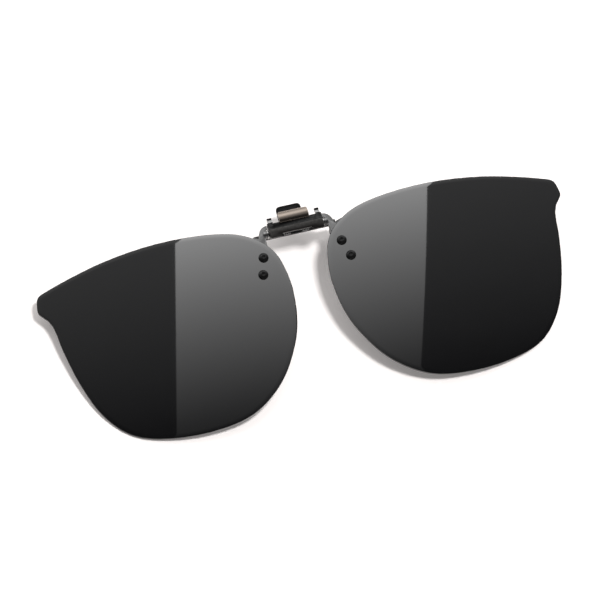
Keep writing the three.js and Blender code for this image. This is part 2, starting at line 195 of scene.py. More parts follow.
def sweep(path, across, section, width=1.0, depth=1.0):
    """A section carried along a path: point (i, j) is path_i + width_i*a_j*side_i + depth_i*b_j*out_i.

    `across` is the direction that the section's width lies nearest to; both ends are closed by one flat face.
    """
    path = np.asarray(path, float)
    tangent = unit(np.gradient(path, axis=0))
    across = np.broadcast_to(across, path.shape)
    side = unit(across - np.sum(across * tangent, -1, keepdims=True) * tangent)
    out = np.cross(tangent, side)
    w = np.broadcast_to(width, len(path))[:, None, None]
    d = np.broadcast_to(depth, len(path))[:, None, None]
    a, b = section[:, 0][None, :, None], section[:, 1][None, :, None]
    points = path[:, None] + w * a * side[:, None] + d * b * out[:, None]
    count = len(section)
    last = (len(path) - 1) * count
    caps = [list(range(count)), list(range(last, last + count))]
    return points, grid_faces(len(path), count) + caps


def wire(path, radius, across, sides=12):
    """A round wire along a path."""
    a = np.linspace(0, 2 * np.pi, sides, endpoint=False)
    return sweep(path, across, radius * np.stack([np.cos(a), np.sin(a)], -1))


def flat_plate(outline, front, back, edge, steps=3):
    """Plate in X and Z between two depths: the outline, drawn in by edge*(1 - cos a) round each rim."""
    outline = np.asarray(outline, float)
    ahead = unit(np.roll(outline, -1, 0) - outline)
    behind = np.roll(ahead, 1, 0)
    normal = np.stack([ahead[:, 1] + behind[:, 1], -(ahead[:, 0] + behind[:, 0])], -1)
    normal /= (1 + np.sum(ahead * behind, -1))[:, None]
    a = np.linspace(0, np.pi / 2, steps + 1)
    inset = np.concatenate([edge * (1 - np.sin(a)), edge * (1 - np.cos(a))])
    depth = np.concatenate([front + edge * (1 - np.cos(a)), back - edge + edge * np.sin(a)])
    flat = outline - inset[:, None, None] * normal
    points = np.stack([flat[..., 0], np.broadcast_to(depth[:, None], flat.shape[:2]), flat[..., 1]], -1)
    count = len(outline)
    last = (len(inset) - 1) * count
    return points, grid_faces(len(inset), count) + [list(range(count)), list(range(last, last + count))]


# ---------------------------------------------------------------- materials

def new_group(name, inputs, outputs):
    """A shader node group with named sockets; returns the tree and its input and output nodes."""
    tree = bpy.data.node_groups.new(name, "ShaderNodeTree")
    for label, kind, value in inputs:
        socket = tree.interface.new_socket(name=label, in_out="INPUT", socket_type=kind)
        if value is not None:
            socket.default_value = value
    for label, kind in outputs:
        tree.interface.new_socket(name=label, in_out="OUTPUT", socket_type=kind)
    return tree, tree.nodes.new("NodeGroupInput"), tree.nodes.new("NodeGroupOutput")


def grain_group():
    """Fine cast or plated grain: two noises that vary a colour and a roughness, and a bump."""
    tree, ins, outs = new_group(
        "fine_grain",
        [("Scale", "NodeSocketFloat", 900.0), ("Stretch", "NodeSocketVector", (1.0, 1.0, 1.0)),
         ("Dark", "NodeSocketColor", None), ("Light", "NodeSocketColor", None),
         ("Smooth", "NodeSocketFloat", 0.2), ("Rough", "NodeSocketFloat", 0.4),
         ("Height", "NodeSocketFloat", 0.1)],
        [("Color", "NodeSocketColor"), ("Roughness", "NodeSocketFloat"), ("Normal", "NodeSocketVector")],
    )
    new, link = tree.nodes.new, tree.links.new
    place = new("ShaderNodeTexCoord")
    stretch = new("ShaderNodeVectorMath")
    stretch.operation = "MULTIPLY"
    link(place.outputs["Object"], stretch.inputs[0])
    link(ins.outputs["Stretch"], stretch.inputs[1])
    fine = new("ShaderNodeTexNoise")
    fine.inputs["Detail"].default_value = 4.0
    link(stretch.outputs[0], fine.inputs["Vector"])
    link(ins.outputs["Scale"], fine.inputs["Scale"])
    broad = new("ShaderNodeTexNoise")
    broad.inputs["Scale"].default_value = 160.0
    broad.inputs["Detail"].default_value = 2.0
    link(place.outputs["Object"], broad.inputs["Vector"])
    colour = new("ShaderNodeMix")
    colour.data_type = "RGBA"
    link(broad.outputs["Fac"], colour.inputs["Factor"])
    link(ins.outputs["Dark"], colour.inputs["A"])
    link(ins.outputs["Light"], colour.inputs["B"])
    link(colour.outputs["Result"], outs.inputs["Color"])
    rough = new("ShaderNodeMapRange")
    link(fine.outputs["Fac"], rough.inputs["Value"])
    link(ins.outputs["Smooth"], rough.inputs["To Min"])
    link(ins.outputs["Rough"], rough.inputs["To Max"])
    link(rough.outputs["Result"], outs.inputs["Roughness"])
    bump = new("ShaderNodeBump")
    bump.inputs["Distance"].default_value = 0.02 * MM
    link(fine.outputs["Fac"], bump.inputs["Height"])
    link(ins.outputs["Height"], bump.inputs["Strength"])
    link(bump.outputs["Normal"], outs.inputs["Normal"])
    return tree


def wear_group():
    """Mask of rubbed edges: convex places, broken up by noise."""
    tree, ins, outs = new_group(
        "edge_wear",
        [("Reach", "NodeSocketFloat", 0.53), ("Amount", "NodeSocketFloat", 0.6)],
        [("Mask", "NodeSocketFloat")],
    )
    new, link = tree.nodes.new, tree.links.new
    shape = new("ShaderNodeNewGeometry")
    place = new("ShaderNodeTexCoord")
    patches = new("ShaderNodeTexNoise")
    patches.inputs["Scale"].default_value = 1400.0
    link(place.outputs["Object"], patches.inputs["Vector"])
    convex = new("ShaderNodeMapRange")
    convex.inputs["From Max"].default_value = 0.62
    link(shape.outputs["Pointiness"], convex.inputs["Value"])
    link(ins.outputs["Reach"], convex.inputs["From Min"])
    mask = new("ShaderNodeMath")
    mask.operation = "MULTIPLY"
    link(convex.outputs["Result"], mask.inputs[0])
    link(patches.outputs["Fac"], mask.inputs[1])
    scaled = new("ShaderNodeMath")
    scaled.operation = "MULTIPLY"
    link(mask.outputs[0], scaled.inputs[0])
    link(ins.outputs["Amount"], scaled.inputs[1])
    link(scaled.outputs[0], outs.inputs["Mask"])
    return tree


def surface(name, dark, light, metallic, smooth, rough, scale=900.0, stretch=(1, 1, 1), height=0.1,
            wear=None):
    """A Principled material over fine_grain; with wear, edge_wear mixes that colour in along the edges."""
    material = bpy.data.materials.new(name)
    material.use_nodes = True
    tree = material.node_tree
    new, link = tree.nodes.new, tree.links.new
    shader = tree.nodes["Principled BSDF"]
    shader.inputs["Metallic"].default_value = metallic
    grain = new("ShaderNodeGroup")
    grain.node_tree = GROUPS["grain"]
    values = {"Scale": scale, "Stretch": stretch, "Dark": (*dark, 1), "Light": (*light, 1),
              "Smooth": smooth, "Rough": rough, "Height": height}
    for label, value in values.items():
        grain.inputs[label].default_value = value
    link(grain.outputs["Roughness"], shader.inputs["Roughness"])
    link(grain.outputs["Normal"], shader.inputs["Normal"])
    if wear is None:
        link(grain.outputs["Color"], shader.inputs["Base Color"])
        return material
    worn = new("ShaderNodeGroup")
    worn.node_tree = GROUPS["wear"]
    mix = new("ShaderNodeMix")
    mix.data_type = "RGBA"
    link(worn.outputs["Mask"], mix.inputs["Factor"])
    link(grain.outputs["Color"], mix.inputs["A"])
    mix.inputs["B"].default_value = (*wear, 1)
    link(mix.outputs["Result"], shader.inputs["Base Color"])
    return material


GROUPS = {}
MATERIALS = {}


def make_materials(settings):
    GROUPS["grain"] = grain_group()
    GROUPS["wear"] = wear_group()
    tint = tuple(settings.tint)
    bronze = tuple(settings.bronze)
    lens = surface("lens_tint", tint, tuple(1.25 * c for c in tint), 0.0, 0.015, 0.05, scale=60.0, height=0.0)
    lens.node_tree.nodes["Principled BSDF"].inputs["IOR"].default_value = 1.54
    MATERIALS.update({
        "lens": lens,
        "gunmetal": surface("gunmetal_plate", (0.044, 0.041, 0.039), (0.07, 0.066, 0.063), 1.0, 0.3, 0.5,
                            scale=1500.0, stretch=(0.15, 1, 1), height=0.25, wear=(0.2, 0.195, 0.19)),
        "arm": surface("arm_plate", (0.19, 0.19, 0.19), (0.25, 0.25, 0.25), 1.0, 0.28, 0.45,
                       scale=1800.0, height=0.2, wear=(0.7, 0.7, 0.7)),
        "black_metal": surface("black_plate", (0.009, 0.009, 0.009), (0.02, 0.02, 0.02), 0.8, 0.2, 0.42,
                               scale=1200.0, height=0.15, wear=(0.25, 0.25, 0.25)),
        "bronze": surface("bronze_plate", bronze, tuple(1.2 * c for c in bronze), 1.0,
                          0.16, 0.3, scale=2200.0, stretch=(0.06, 1, 1), height=0.2, wear=(0.7, 0.65, 0.6)),
        "steel": surface("spring_steel", (0.5, 0.5, 0.5), (0.66, 0.66, 0.65), 1.0, 0.12, 0.3,
                         scale=2500.0, height=0.1),
        "spring": surface("spring_wire", (0.1, 0.1, 0.1), (0.17, 0.17, 0.17), 1.0, 0.15, 0.32,
                          scale=2500.0, height=0.1),
        "rivet": surface("rivet_black", (0.005, 0.005, 0.005), (0.009, 0.009, 0.009), 0.0, 0.18, 0.34,
                         scale=2500.0, height=0.2, wear=(0.08, 0.08, 0.08)),
        "rubber": surface("black_silicone", (0.008, 0.008, 0.008), (0.016, 0.016, 0.016), 0.0, 0.5, 0.75,
                          scale=3000.0, height=0.3),
    })
    for dull in ("rivet", "rubber"):
        MATERIALS[dull].node_tree.nodes["Principled BSDF"].inputs["Specular IOR Level"].default_value = 0.25


# ---------------------------------------------------------------- lenses

def lens_front(x, z):
    """Depth of the lens front: |x|*tan(wrap) + d^2/(2*radius), with d the distance from the lens middle."""
    bowl = ((abs(x) - LENS_X) ** 2 + (z - LENS_Z) ** 2) / (2 * LENS_RADIUS)
    return abs(x) * LENS_WRAP + bowl - LENS_BACK


def lens_normal(x, z):
    """Direction out of the lens front: the slopes of the depth, and one towards the front."""
    slope = LENS_WRAP + (abs(x) - LENS_X) / LENS_RADIUS
    return unit(np.array([math.copysign(1, x) * slope, -1.0, (z - LENS_Z) / LENS_RADIUS]))


def lens_rim(count):
    """Distance from the lens middle to its rim at even angles, read from the CAD lens's outermost points."""
    node = frame["nodes"]["lens_right"]
    points = np.empty(3 * len(node.data.vertices))
    node.data.vertices.foreach_get("co", points)
    x, z = points.reshape(-1, 3)[:, 0] - LENS_X, points.reshape(-1, 3)[:, 2] - LENS_Z
    hole_reach = 1.4 * MM
    least_radius = 20 * MM
    same_angle = 2e-4
    for name in ("upper", "lower"):
        hole = node_centre(f"rivet_{name}_right")
        away = np.hypot(x + LENS_X - hole[0], z + LENS_Z - hole[2]) > hole_reach
        x, z = x[away], z[away]
    angle = np.round(np.arctan2(z, x), 4)
    radius = np.hypot(x, z)
    order = np.lexsort((radius, angle))
    angle, radius = angle[order], radius[order]
    outer = np.append(np.diff(angle) > same_angle, True) & (radius > least_radius)
    angle, radius = angle[outer], radius[outer]
    even = np.linspace(-np.pi, np.pi, count, endpoint=False)
    return even, np.interp(even, angle, radius, period=2 * np.pi)


def lens_surface(side, count=480):
    """Rings from the middle of the front, over a rounded rim, to the middle of the back.

    Ring k has the rim's shape drawn in by an inset, at the front's depth plus a share of the thickness.
    """
    angle, rim = lens_rim(count)
    edge = 0.1 * MM
    turn = np.linspace(0, np.pi / 2, 6)
    flat = 25
    grow = np.linspace(0, 1, flat + 1)
    share = np.concatenate([grow[:-1], np.ones(2 * len(turn)), grow[::-1][1:]])
    inset = edge * np.concatenate([np.ones(flat), 1 - np.sin(turn), 1 - np.cos(turn), np.ones(flat)])
    depth = np.concatenate([
        np.zeros(flat), edge * (1 - np.cos(turn)), LENS_THICKNESS - edge + edge * np.sin(turn),
        np.full(flat, LENS_THICKNESS)])
    reach = share[:, None] * (rim - inset[:, None])
    x = LENS_X + reach * np.cos(angle)
    z = LENS_Z + reach * np.sin(angle)
    points = np.stack([side * x, lens_front(x, z) + depth[:, None], z], -1)
    return points, grid_faces(len(share), count)


def rivet_place(name, side):
    """Centre of a rivet on the lens front and the direction out of the lens there.

    The rivet's own middle lies a little behind the lens front, along the rivet.
    """
    behind = 0.88 * MM
    middle = node_centre(f"rivet_{name}_right")
    out = lens_normal(middle[0], middle[2])
    x, z = middle[0] + behind * out[0], middle[2] + behind * out[2]
    place = np.array([side * x, lens_front(x, z), z])
    return place, lens_normal(side * x, z)


# Turned shapes as radius and height in millimetres, from the rear end out through the lens.
RIVET_PROFILE = [
    (0, -2.5), (0.5, -2.5), (0.58, -2.4), (0.6, -2.3), (0.6, 0.02), (1.22, 0.02), (1.29, 0.06),
    (1.3, 0.13), (1.28, 0.22), (1.2, 0.36), (1.06, 0.5), (0.88, 0.62), (0.68, 0.7), (0.52, 0.73),
    (0.46, 0.72), (0.42, 0.66), (0.36, 0.6), (0.24, 0.57), (0, 0.56),
]
WASHER_PROFILE = [
    (0.66, -2.37), (1.1, -2.37), (1.2, -2.32), (1.25, -2.22), (1.25, -1.94), (1.2, -1.88), (0.66, -1.88),
    (0.66, -2.37),
]


def in_mm(profile):
    return np.array(profile) * MM


def make_lenses():
    for name, side in SIDES.items():
        points, faces = lens_surface(side)
        piece = make_piece(f"tinted_lens_{name}", points, faces, MATERIALS["lens"], "lens_frame",
                           [f"lens_{name}"])
        sharpen(piece, 60)
        for rivet in ("upper", "lower"):
            place, out = rivet_place(rivet, side)
            points, faces = revolve(in_mm(RIVET_PROFILE), place, out)
            piece = make_piece(f"domed_rivet_{rivet}_{name}", points, faces, MATERIALS["rivet"], "lens_frame",
                               [f"rivet_{rivet}_{name}"])
            sharpen(piece, 50)
            points, faces = revolve(in_mm(WASHER_PROFILE), place, out)
            piece = make_piece(f"lock_washer_{rivet}_{name}", points, faces, MATERIALS["steel"], "lens_frame",
                               [f"rivet_washer_{rivet}_{name}"])
            sharpen(piece, 50)


# ---------------------------------------------------------------- clip

def crisp_copy(node, name, material, body, bevel=0.1 * MM):
    """The CAD node's own shape as a merged mesh with flat faces joined and every hard edge bevelled."""
    mesh = bpy.data.meshes.new(name)
    shell = bmesh.new()
    shell.from_mesh(frame["nodes"][node].data)
    bmesh.ops.remove_doubles(shell, verts=shell.verts, dist=2e-6)
    bmesh.ops.dissolve_limit(shell, angle_limit=math.radians(1.0), verts=shell.verts, edges=shell.edges)
    shell.to_mesh(mesh)
    shell.free()
    mesh.materials.clear()
    mesh.materials.append(material)
    mesh.polygons.foreach_set("use_smooth", np.ones(len(mesh.polygons), bool))
    mesh.set_sharp_from_angle(angle=math.radians(32))
    piece = bpy.data.objects.new(name, mesh)
    bpy.context.scene.collection.objects.link(piece)
    rounding = piece.modifiers.new("rounded_edges", "BEVEL")
    rounding.width = bevel
    rounding.segments = 3
    rounding.limit_method = "ANGLE"
    rounding.angle_limit = math.radians(35)
    rounding.harden_normals = True
    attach(piece, body)
    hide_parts(node)
    return piece


def paint_ear_highlight(channel):
    """Sloped faces half way up the two ears, those facing forward and up, take bright steel: a painted
    highlight on the black ears.
    """
    channel.data.materials.append(MATERIALS["steel"])
    top = node_box("hinge_channel")[1][2]
    first, last = 0.35 * MM, 1.35 * MM
    for face in channel.data.polygons:
        below = top - face.center[2]
        # faces turned forward and up get the steel that paints the ears' highlight
        if first < below < last and face.normal[1] < -0.1 and face.normal[2] > 0.25:
            face.material_index = 1


def make_cover():
    """Front cover of the bar: a flat plate relieved along its lower edge, below the springs."""
    low, high = node_box("front_cover")
    notch, relief, corner = 3.9 * MM, 0.75 * MM, 0.3 * MM
    half, bottom, top = high[0], low[2], high[2]
    right = [(notch, bottom + relief), (notch + corner, bottom), (half - corner, bottom),
             (half, bottom + corner), (half, top - corner), (half - corner, top)]
    outline = right + [(-x, z) for x, z in reversed(right)]
    points, faces = flat_plate(outline, low[1], high[1], 0.1 * MM)
    piece = make_piece("bar_cover", points, faces, MATERIALS["gunmetal"], "clip_base",
                       ["front_cover"])
    sharpen(piece)


def make_front_tab():
    """Bronze tab: a strip up an arc, y = y0 + r*(1 - cos t), z = z0 + r*sin t, its top corners drawn in.

    The slope t runs from leaning forward at the foot to leaning back at the top.
    """
    low, high = node_box("front_thumb_tab")
    thick = 0.5 * MM
    corner = 0.8 * MM
    margin = 0.05 * MM
    sunk = 0.04 * MM
    first, last = math.radians(-25), math.radians(50)
    rise = high[2] - low[2] - 2 * margin
    radius = rise / (math.sin(last) - math.sin(first))
    t = np.linspace(first, last, 90)
    foot = node_box("hinge_channel")[0][1] - sunk - thick / 2
    y = foot + radius * (math.cos(first) - np.cos(t))
    z = low[2] + margin + radius * (np.sin(t) - math.sin(first))
    path = np.column_stack([np.zeros(len(t)), y, z])
    width = 2 * high[0]
    rounded = round_ends(len(path), corner / rise, start=False)
    lip = round_ends(len(path), 0.07)
    scale = 1 - 2 * corner * (1 - rounded) / width
    points, faces = sweep(path, X_AXIS, rounded_section(width, thick, 0.2 * MM, 5), scale, lip)
    piece = make_piece("thumb_tab", points, faces, MATERIALS["bronze"], "clip_base",
                       ["front_thumb_tab"])
    sharpen(piece, 40)


def make_thumb_pad():
    """Soft pad: an upright strip with rounded corners, its back face raised in level ribs."""
    low, high = node_box("thumb_pad")
    count, ribs = 120, 6
    z = np.linspace(low[2], high[2], count)
    s = np.linspace(0, 1, count)
    mid = (low[1] + high[1]) / 2
    path = np.column_stack([np.zeros(count), np.full(count, mid), z])
    width = 2 * high[0]
    thick = high[1] - low[1]
    corner = np.minimum(round_ends(count, 0.2, start=False), round_ends(count, 0.08, end=False))
    scale = (width - 2.0 * MM * (1 - corner)) / width
    wave = 0.86 + 0.14 * np.cos(2 * np.pi * ribs * s)
    points, faces = sweep(path, X_AXIS, rounded_section(width, thick, 0.22 * MM, 5), scale,
                          wave * np.clip(corner + 0.3, 0, 1))
    make_piece("finger_pad", points, faces, MATERIALS["rubber"], "clip_lever", ["thumb_pad"])


# Centre line of a rear claw in Y and Z, from the grip point: over the rim of the spectacles to the tip.
HOOK = [(0.9, 8.9), (2.6, 8.75), (4.4, 7.6), (4.75, 5.2), (4.3, 2.4), (2.6, 0.2), (0.9, -1.1)]


def hook_path(side, count):
    """The hook's centre line at the middle of the sleeve's width."""
    path = smooth_path(np.array(HOOK) * MM, count)
    middle = node_centre("rear_sleeve_right")[0]
    return np.column_stack([np.full(count, side * middle), path])


def make_sleeves():
    """Soft sleeves: a rounded section along each claw's end, domed at the tip and rolled at the mouth."""
    for name, side in SIDES.items():
        low, high = node_box(f"front_sleeve_{name}")
        count, thick = 48, 1.6 * MM
        path = np.column_stack([
            np.full(count, (low[0] + high[0]) / 2),
            np.linspace(high[1] - thick / 2, low[1] + thick / 2, count),
            np.linspace(high[2], low[2], count)])
        s = np.linspace(0, 1, count)
        lip = 1 + 0.05 * np.exp(-((s - 0.07) / 0.05) ** 2) - 0.06 * (s > 0.12)
        size = lip * round_ends(count, 0.16, start=False) * round_ends(count, 0.04, end=False)
        section = rounded_section(high[0] - low[0], thick, 0.6 * MM, 8)
        size /= size.max()
        points, faces = sweep(path, X_AXIS, section, size, size)
        make_piece(f"front_claw_sleeve_{name}", points, faces, MATERIALS["rubber"], "clip_base",
                   [f"front_sleeve_{name}"])
        path = hook_path(side, 140)[-count:]
        points, faces = sweep(path, X_AXIS, section, size, size)
        make_piece(f"rear_claw_sleeve_{name}", points, faces, MATERIALS["rubber"], "clip_lever",
                   [f"rear_sleeve_{name}"])


def make_pin_and_washers():
    """Hinge pin with rounded ends, and a flat friction washer with a rounded outer rim on each side of the
    bar.
    """
    low, high = node_box("hinge_pin")
    half, r, soft = high[0], 0.5 * MM, 0.12 * MM
    profile = [(0, -half), (r - soft, -half), (r, -half + soft),
               (r, half - soft), (r - soft, half), (0, half)]
    points, faces = revolve(profile, HINGE, X_AXIS, 48)
    sharpen(make_piece("pin", points, faces, MATERIALS["steel"], "lens_frame", ["hinge_pin"]))
    for name, side in SIDES.items():
        low, high = node_box(f"friction_washer_{name}")
        inner, outer = 0.56 * MM, (high[2] - low[2]) / 2
        thick = high[0] - low[0]
        soft = 0.08 * MM
        profile = [(inner, 0), (outer - soft, 0), (outer, soft), (outer, thick - soft), (outer - soft, thick),
                   (inner, thick), (inner, 0)]
        points, faces = revolve(profile, np.array([low[0], HINGE[1], HINGE[2]]), X_AXIS, 48)
        sharpen(make_piece(f"washer_{name}", points, faces, MATERIALS["steel"], "clip_base",
                           [f"friction_washer_{name}"]))


def make_springs():
    """Torsion springs: a helix x = p*a/2pi, y = r*cos a, z = r*sin a with a straight leg at each end.

    The rear leg is a piece of its own that turns with the lever, as the real leg does.
    """
    turns, pitch, wire_r, drop = 4.25, 0.46 * MM, 0.2 * MM, 0.6 * MM
    radius = 1.02 * MM
    lever_thick = 0.6 * MM
    along, down, back = 260, 7, 20
    for name, side in SIDES.items():
        middle = side * 2.4 * MM
        a = np.pi - np.linspace(0, turns * 2 * np.pi, along)
        x = middle + side * pitch * (np.linspace(0, turns, along) - turns / 2)
        coil = np.column_stack([x, HINGE[1] + radius * np.cos(a), HINGE[2] + radius * np.sin(a)])
        below = np.linspace(-drop, 0, down + 1)[:-1]
        leg = np.column_stack([np.full(down, coil[0, 0]), np.full(down, coil[0, 1]), coil[0, 2] + below])
        points, faces = wire(np.vstack([leg, coil]), wire_r, X_AXIS)
        make_piece(f"spring_coil_{name}", points, faces, MATERIALS["spring"], "clip_base",
                   [f"torsion_spring_{name}"])
        reach = node_box("lever_plate")[1][1] - lever_thick - wire_r - coil[-1, 1]
        ahead = np.linspace(0, reach, back)
        leg = np.column_stack([np.full(back, coil[-1, 0]), coil[-1, 1] + ahead, np.full(back, coil[-1, 2])])
        points, faces = wire(leg, wire_r, X_AXIS)
        make_piece(f"spring_leg_{name}", points, faces, MATERIALS["spring"], "clip_lever")


def make_clip():
    channel = crisp_copy("hinge_channel", "folded_channel", MATERIALS["black_metal"], "clip_base")
    # the ears' forward-and-up slopes take steel as a painted highlight
    paint_ear_highlight(channel)
    crisp_copy("lever_plate", "rear_lever", MATERIALS["black_metal"], "clip_lever")
    for name in SIDES:
        crisp_copy(f"lens_bracket_{name}", f"bracket_arm_{name}", MATERIALS["arm"], "lens_frame",
                   0.12 * MM)
        crisp_copy(f"front_claw_{name}", f"fixed_claw_{name}", MATERIALS["black_metal"], "clip_base")
        crisp_copy(f"rear_claw_{name}", f"hooked_claw_{name}", MATERIALS["black_metal"], "clip_lever")
    make_cover()
    make_front_tab()
    make_thumb_pad()
    make_sleeves()
    make_pin_and_washers()
    make_springs()


# ---------------------------------------------------------------- studio

def axes_of_view(azimuth, elevation, roll):
    """Right, up and back directions of a camera looking along +Y at azimuth 0, rolled about its sight."""
    az, el, r = (math.radians(v) for v in (azimuth, elevation, roll))
    back = np.array([math.sin(az) * math.cos(el), -math.cos(az) * math.cos(el), math.sin(el)])
    right = np.array([math.cos(az), math.sin(az), 0.0])
    up = np.cross(back, right)
    return right * math.cos(r) - up * math.sin(r), right * math.sin(r) + up * math.cos(r), back


VIEW = {"azimuth": -8.1, "elevation": -16.0, "roll": 15.2}
TARGET = np.array([-4.5, -8.0, -11.8]) * MM
DISTANCE = 900 * MM


def make_camera(settings):
    right, up, back = axes_of_view(**VIEW)
    data = bpy.data.cameras.new("product_camera")
    data.lens = settings.focal
    data.sensor_width = 36.0
    camera = bpy.data.objects.new("product_camera", data)
    bpy.context.scene.collection.objects.link(camera)
    place = np.eye(4)
    place[:3, 0], place[:3, 1], place[:3, 2] = right, up, back
    place[:3, 3] = TARGET + DISTANCE * back
    camera.matrix_world = Matrix(place.tolist())
    bpy.context.scene.camera = camera
    return place[:3, 3]


def mirrored_point(eye, x, z, depth):
    """Where the sight line from the eye, mirrored in the lens front at (x, z), meets the plane y = depth."""
    point = np.array([x, lens_front(x, z), z])
    out = lens_normal(x, z)
    sight = unit(eye - point)
    ray = 2 * np.dot(out, sight) * out - sight
    return point + ray * (depth - point[1]) / ray[1]


def stage_sheet(name, corners, material):
    """A flat four-cornered sheet for the studio."""
    mesh = bpy.data.meshes.new(name)
    mesh.from_pydata([list(c) for c in corners], [], [(0, 1, 2, 3)])
    sheet = bpy.data.objects.new(name, mesh)
    bpy.context.scene.collection.objects.link(sheet)
    mesh.materials.append(material)
    return sheet


def glow_material(name, bottom, top, low, high):
    """Light that rises between two heights in Object coordinates, as the square of an even climb.

    The sheet is clear, so that it hides none of the sky from the metal.
    """
    material = bpy.data.materials.new(name)
    material.use_nodes = True
    tree = material.node_tree
    tree.nodes.clear()
    new, link = tree.nodes.new, tree.links.new
    place = new("ShaderNodeTexCoord")
    split = new("ShaderNodeSeparateXYZ")
    link(place.outputs["Object"], split.inputs[0])
    rise = new("ShaderNodeMapRange")
    rise.inputs["From Min"].default_value = low
    rise.inputs["From Max"].default_value = high
    rise.inputs["To Min"].default_value = math.sqrt(bottom)
    rise.inputs["To Max"].default_value = math.sqrt(top)
    link(split.outputs["Z"], rise.inputs["Value"])
    squared = new("ShaderNodeMath")
    squared.operation = "POWER"
    squared.inputs[1].default_value = 2.0
    link(rise.outputs["Result"], squared.inputs[0])
    glow = new("ShaderNodeEmission")
    link(squared.outputs[0], glow.inputs["Strength"])
    clear = new("ShaderNodeBsdfTransparent")
    both = new("ShaderNodeAddShader")
    link(glow.outputs[0], both.inputs[0])
    link(clear.outputs[0], both.inputs[1])
    end = new("ShaderNodeOutputMaterial")
    link(both.outputs[0], end.inputs["Surface"])
    return material


# Where the edge of the reflected card crosses each lens, top then bottom, as x and z on the lens front.
SPLIT = {"left": [(-31.5, 11.3), (-43.5, -38.5)], "right": [(36.2, 12.4), (21.3, -35.9)]}
CARD_DEPTH = -110 * MM
CARD_GLOW = {"bottom": 0.02, "top": 6.3}
CARD_PAST_TOP = 0.25
CARD_PAST_BOTTOM = 0.2


def make_reflection_card(eye):
    """A tall card in front, whose two edges the lenses mirror as upright lines in the camera's picture."""
    ends = {}
    for name, ((xt, zt), (xb, zb)) in SPLIT.items():
        top = mirrored_point(eye, xt * MM, zt * MM, CARD_DEPTH)
        bottom = mirrored_point(eye, xb * MM, zb * MM, CARD_DEPTH)
        ends[name] = (top + CARD_PAST_TOP * (top - bottom), bottom - CARD_PAST_BOTTOM * (top - bottom))
    corners = [ends["left"][1], ends["right"][1], ends["right"][0], ends["left"][0]]
    low, high = ends["left"][1][2], ends["left"][0][2]
    glow = glow_material("card_glow", CARD_GLOW["bottom"], CARD_GLOW["top"], low, high)
    card = stage_sheet("reflection_card", corners, glow)
    lenses = bpy.data.collections.new("lenses_lit_by_card")
    for name in SIDES:
        lenses.objects.link(bpy.data.objects[f"tinted_lens_{name}"])
    card.light_linking.receiver_collection = lenses
    card.visible_camera = False
    card.visible_diffuse = False
    card.visible_shadow = False


PAPER = (0.92, 0.88, 0.865)
FADE_FROM = 0.75


def see_through_sheet(name, colour, shine, centre=None, radius=None):
    """Matt sheet with a little glow of its own, seen only from its front face and fading out at a radius."""
    material = bpy.data.materials.new(name)
    material.use_nodes = True
    tree = material.node_tree
    new, link = tree.nodes.new, tree.links.new
    shader = tree.nodes["Principled BSDF"]
    shader.inputs["Base Color"].default_value = (*colour, 1)
    shader.inputs["Roughness"].default_value = 0.9
    shader.inputs["Specular IOR Level"].default_value = 0.0
    shader.inputs["Emission Color"].default_value = (*colour, 1)
    shader.inputs["Emission Strength"].default_value = shine
    clear = new("ShaderNodeBsdfTransparent")
    side = new("ShaderNodeNewGeometry")
    mix = new("ShaderNodeMixShader")
    hidden = side.outputs["Backfacing"]
    if radius:
        place = new("ShaderNodeTexCoord")
        apart = new("ShaderNodeVectorMath")
        apart.operation = "DISTANCE"
        apart.inputs[1].default_value = centre
        link(place.outputs["Object"], apart.inputs[0])
        fade = new("ShaderNodeMapRange")
        fade.interpolation_type = "SMOOTHSTEP"
        fade.inputs["From Min"].default_value = FADE_FROM * radius
        fade.inputs["From Max"].default_value = radius
        link(apart.outputs["Value"], fade.inputs["Value"])
        most = new("ShaderNodeMath")
        most.operation = "MAXIMUM"
        link(fade.outputs["Result"], most.inputs[0])
        link(hidden, most.inputs[1])
        hidden = most.outputs[0]
    link(hidden, mix.inputs["Fac"])
    link(shader.outputs[0], mix.inputs[1])
    link(clear.outputs[0], mix.inputs[2])
    link(mix.outputs[0], tree.nodes["Material Output"].inputs["Surface"])
    return material


def make_backdrops(settings):
    """Paper floor, and paper behind the object at y = back + tilt*(z - top) - bend*(x/half)^2."""
    low, high = (np.array(c) for c in CAD_BOX)
    gap = 0.4 * MM
    floor_z = low[2] - gap
    wide = 1500 * MM
    paper = see_through_sheet("floor_paper", PAPER, settings.paper_glow, (0, 0, floor_z), wide)
    floor = stage_sheet("floor", [(-wide, -wide, floor_z), (wide, -wide, floor_z), (wide, wide, floor_z),
                                  (-wide, wide, floor_z)], paper)
    floor.visible_shadow = False
    floor.visible_diffuse = False
    floor.visible_glossy = False
    back = high[1] + 2.4 * MM
    half = 130 * MM
    bend = 12 * MM
    tilt = 0.17
    middle = float(low[2] + high[2]) / 2
    wall = see_through_sheet("backdrop_paper", PAPER, settings.paper_glow, (0, back, middle), half)
    x = np.linspace(-half, half, 61)
    z = middle + half * np.array([-1.0, 1.0])
    y = back + tilt * (z[:, None] - high[2]) - bend * (x / half) ** 2
    points = np.stack([np.broadcast_to(x, y.shape), y, np.broadcast_to(z[:, None], y.shape)], -1)
    mesh = bpy.data.meshes.new("backdrop")
    mesh.from_pydata(points.reshape(-1, 3).tolist(), [], grid_faces(2, len(x), closed=False))
    mesh.polygons.foreach_set("use_smooth", np.ones(len(mesh.polygons), bool))
    sheet = bpy.data.objects.new("backdrop", mesh)
    bpy.context.scene.collection.objects.link(sheet)
    mesh.materials.append(wall)


def make_light(name, power, size, place, aim):
    data = bpy.data.lights.new(name, "AREA")
    data.energy = power
    data.shape = "SQUARE"
    data.size = size
    light = bpy.data.objects.new(name, data)
    bpy.context.scene.collection.objects.link(light)
    back = unit(np.array(place) - np.array(aim))
    right = unit(np.cross(Z_AXIS, back))
    matrix = np.eye(4)
    matrix[:3, 0], matrix[:3, 1], matrix[:3, 2], matrix[:3, 3] = right, np.cross(back, right), back, place
    light.matrix_world = Matrix(matrix.tolist())
    light.visible_camera = False
    light.visible_glossy = False


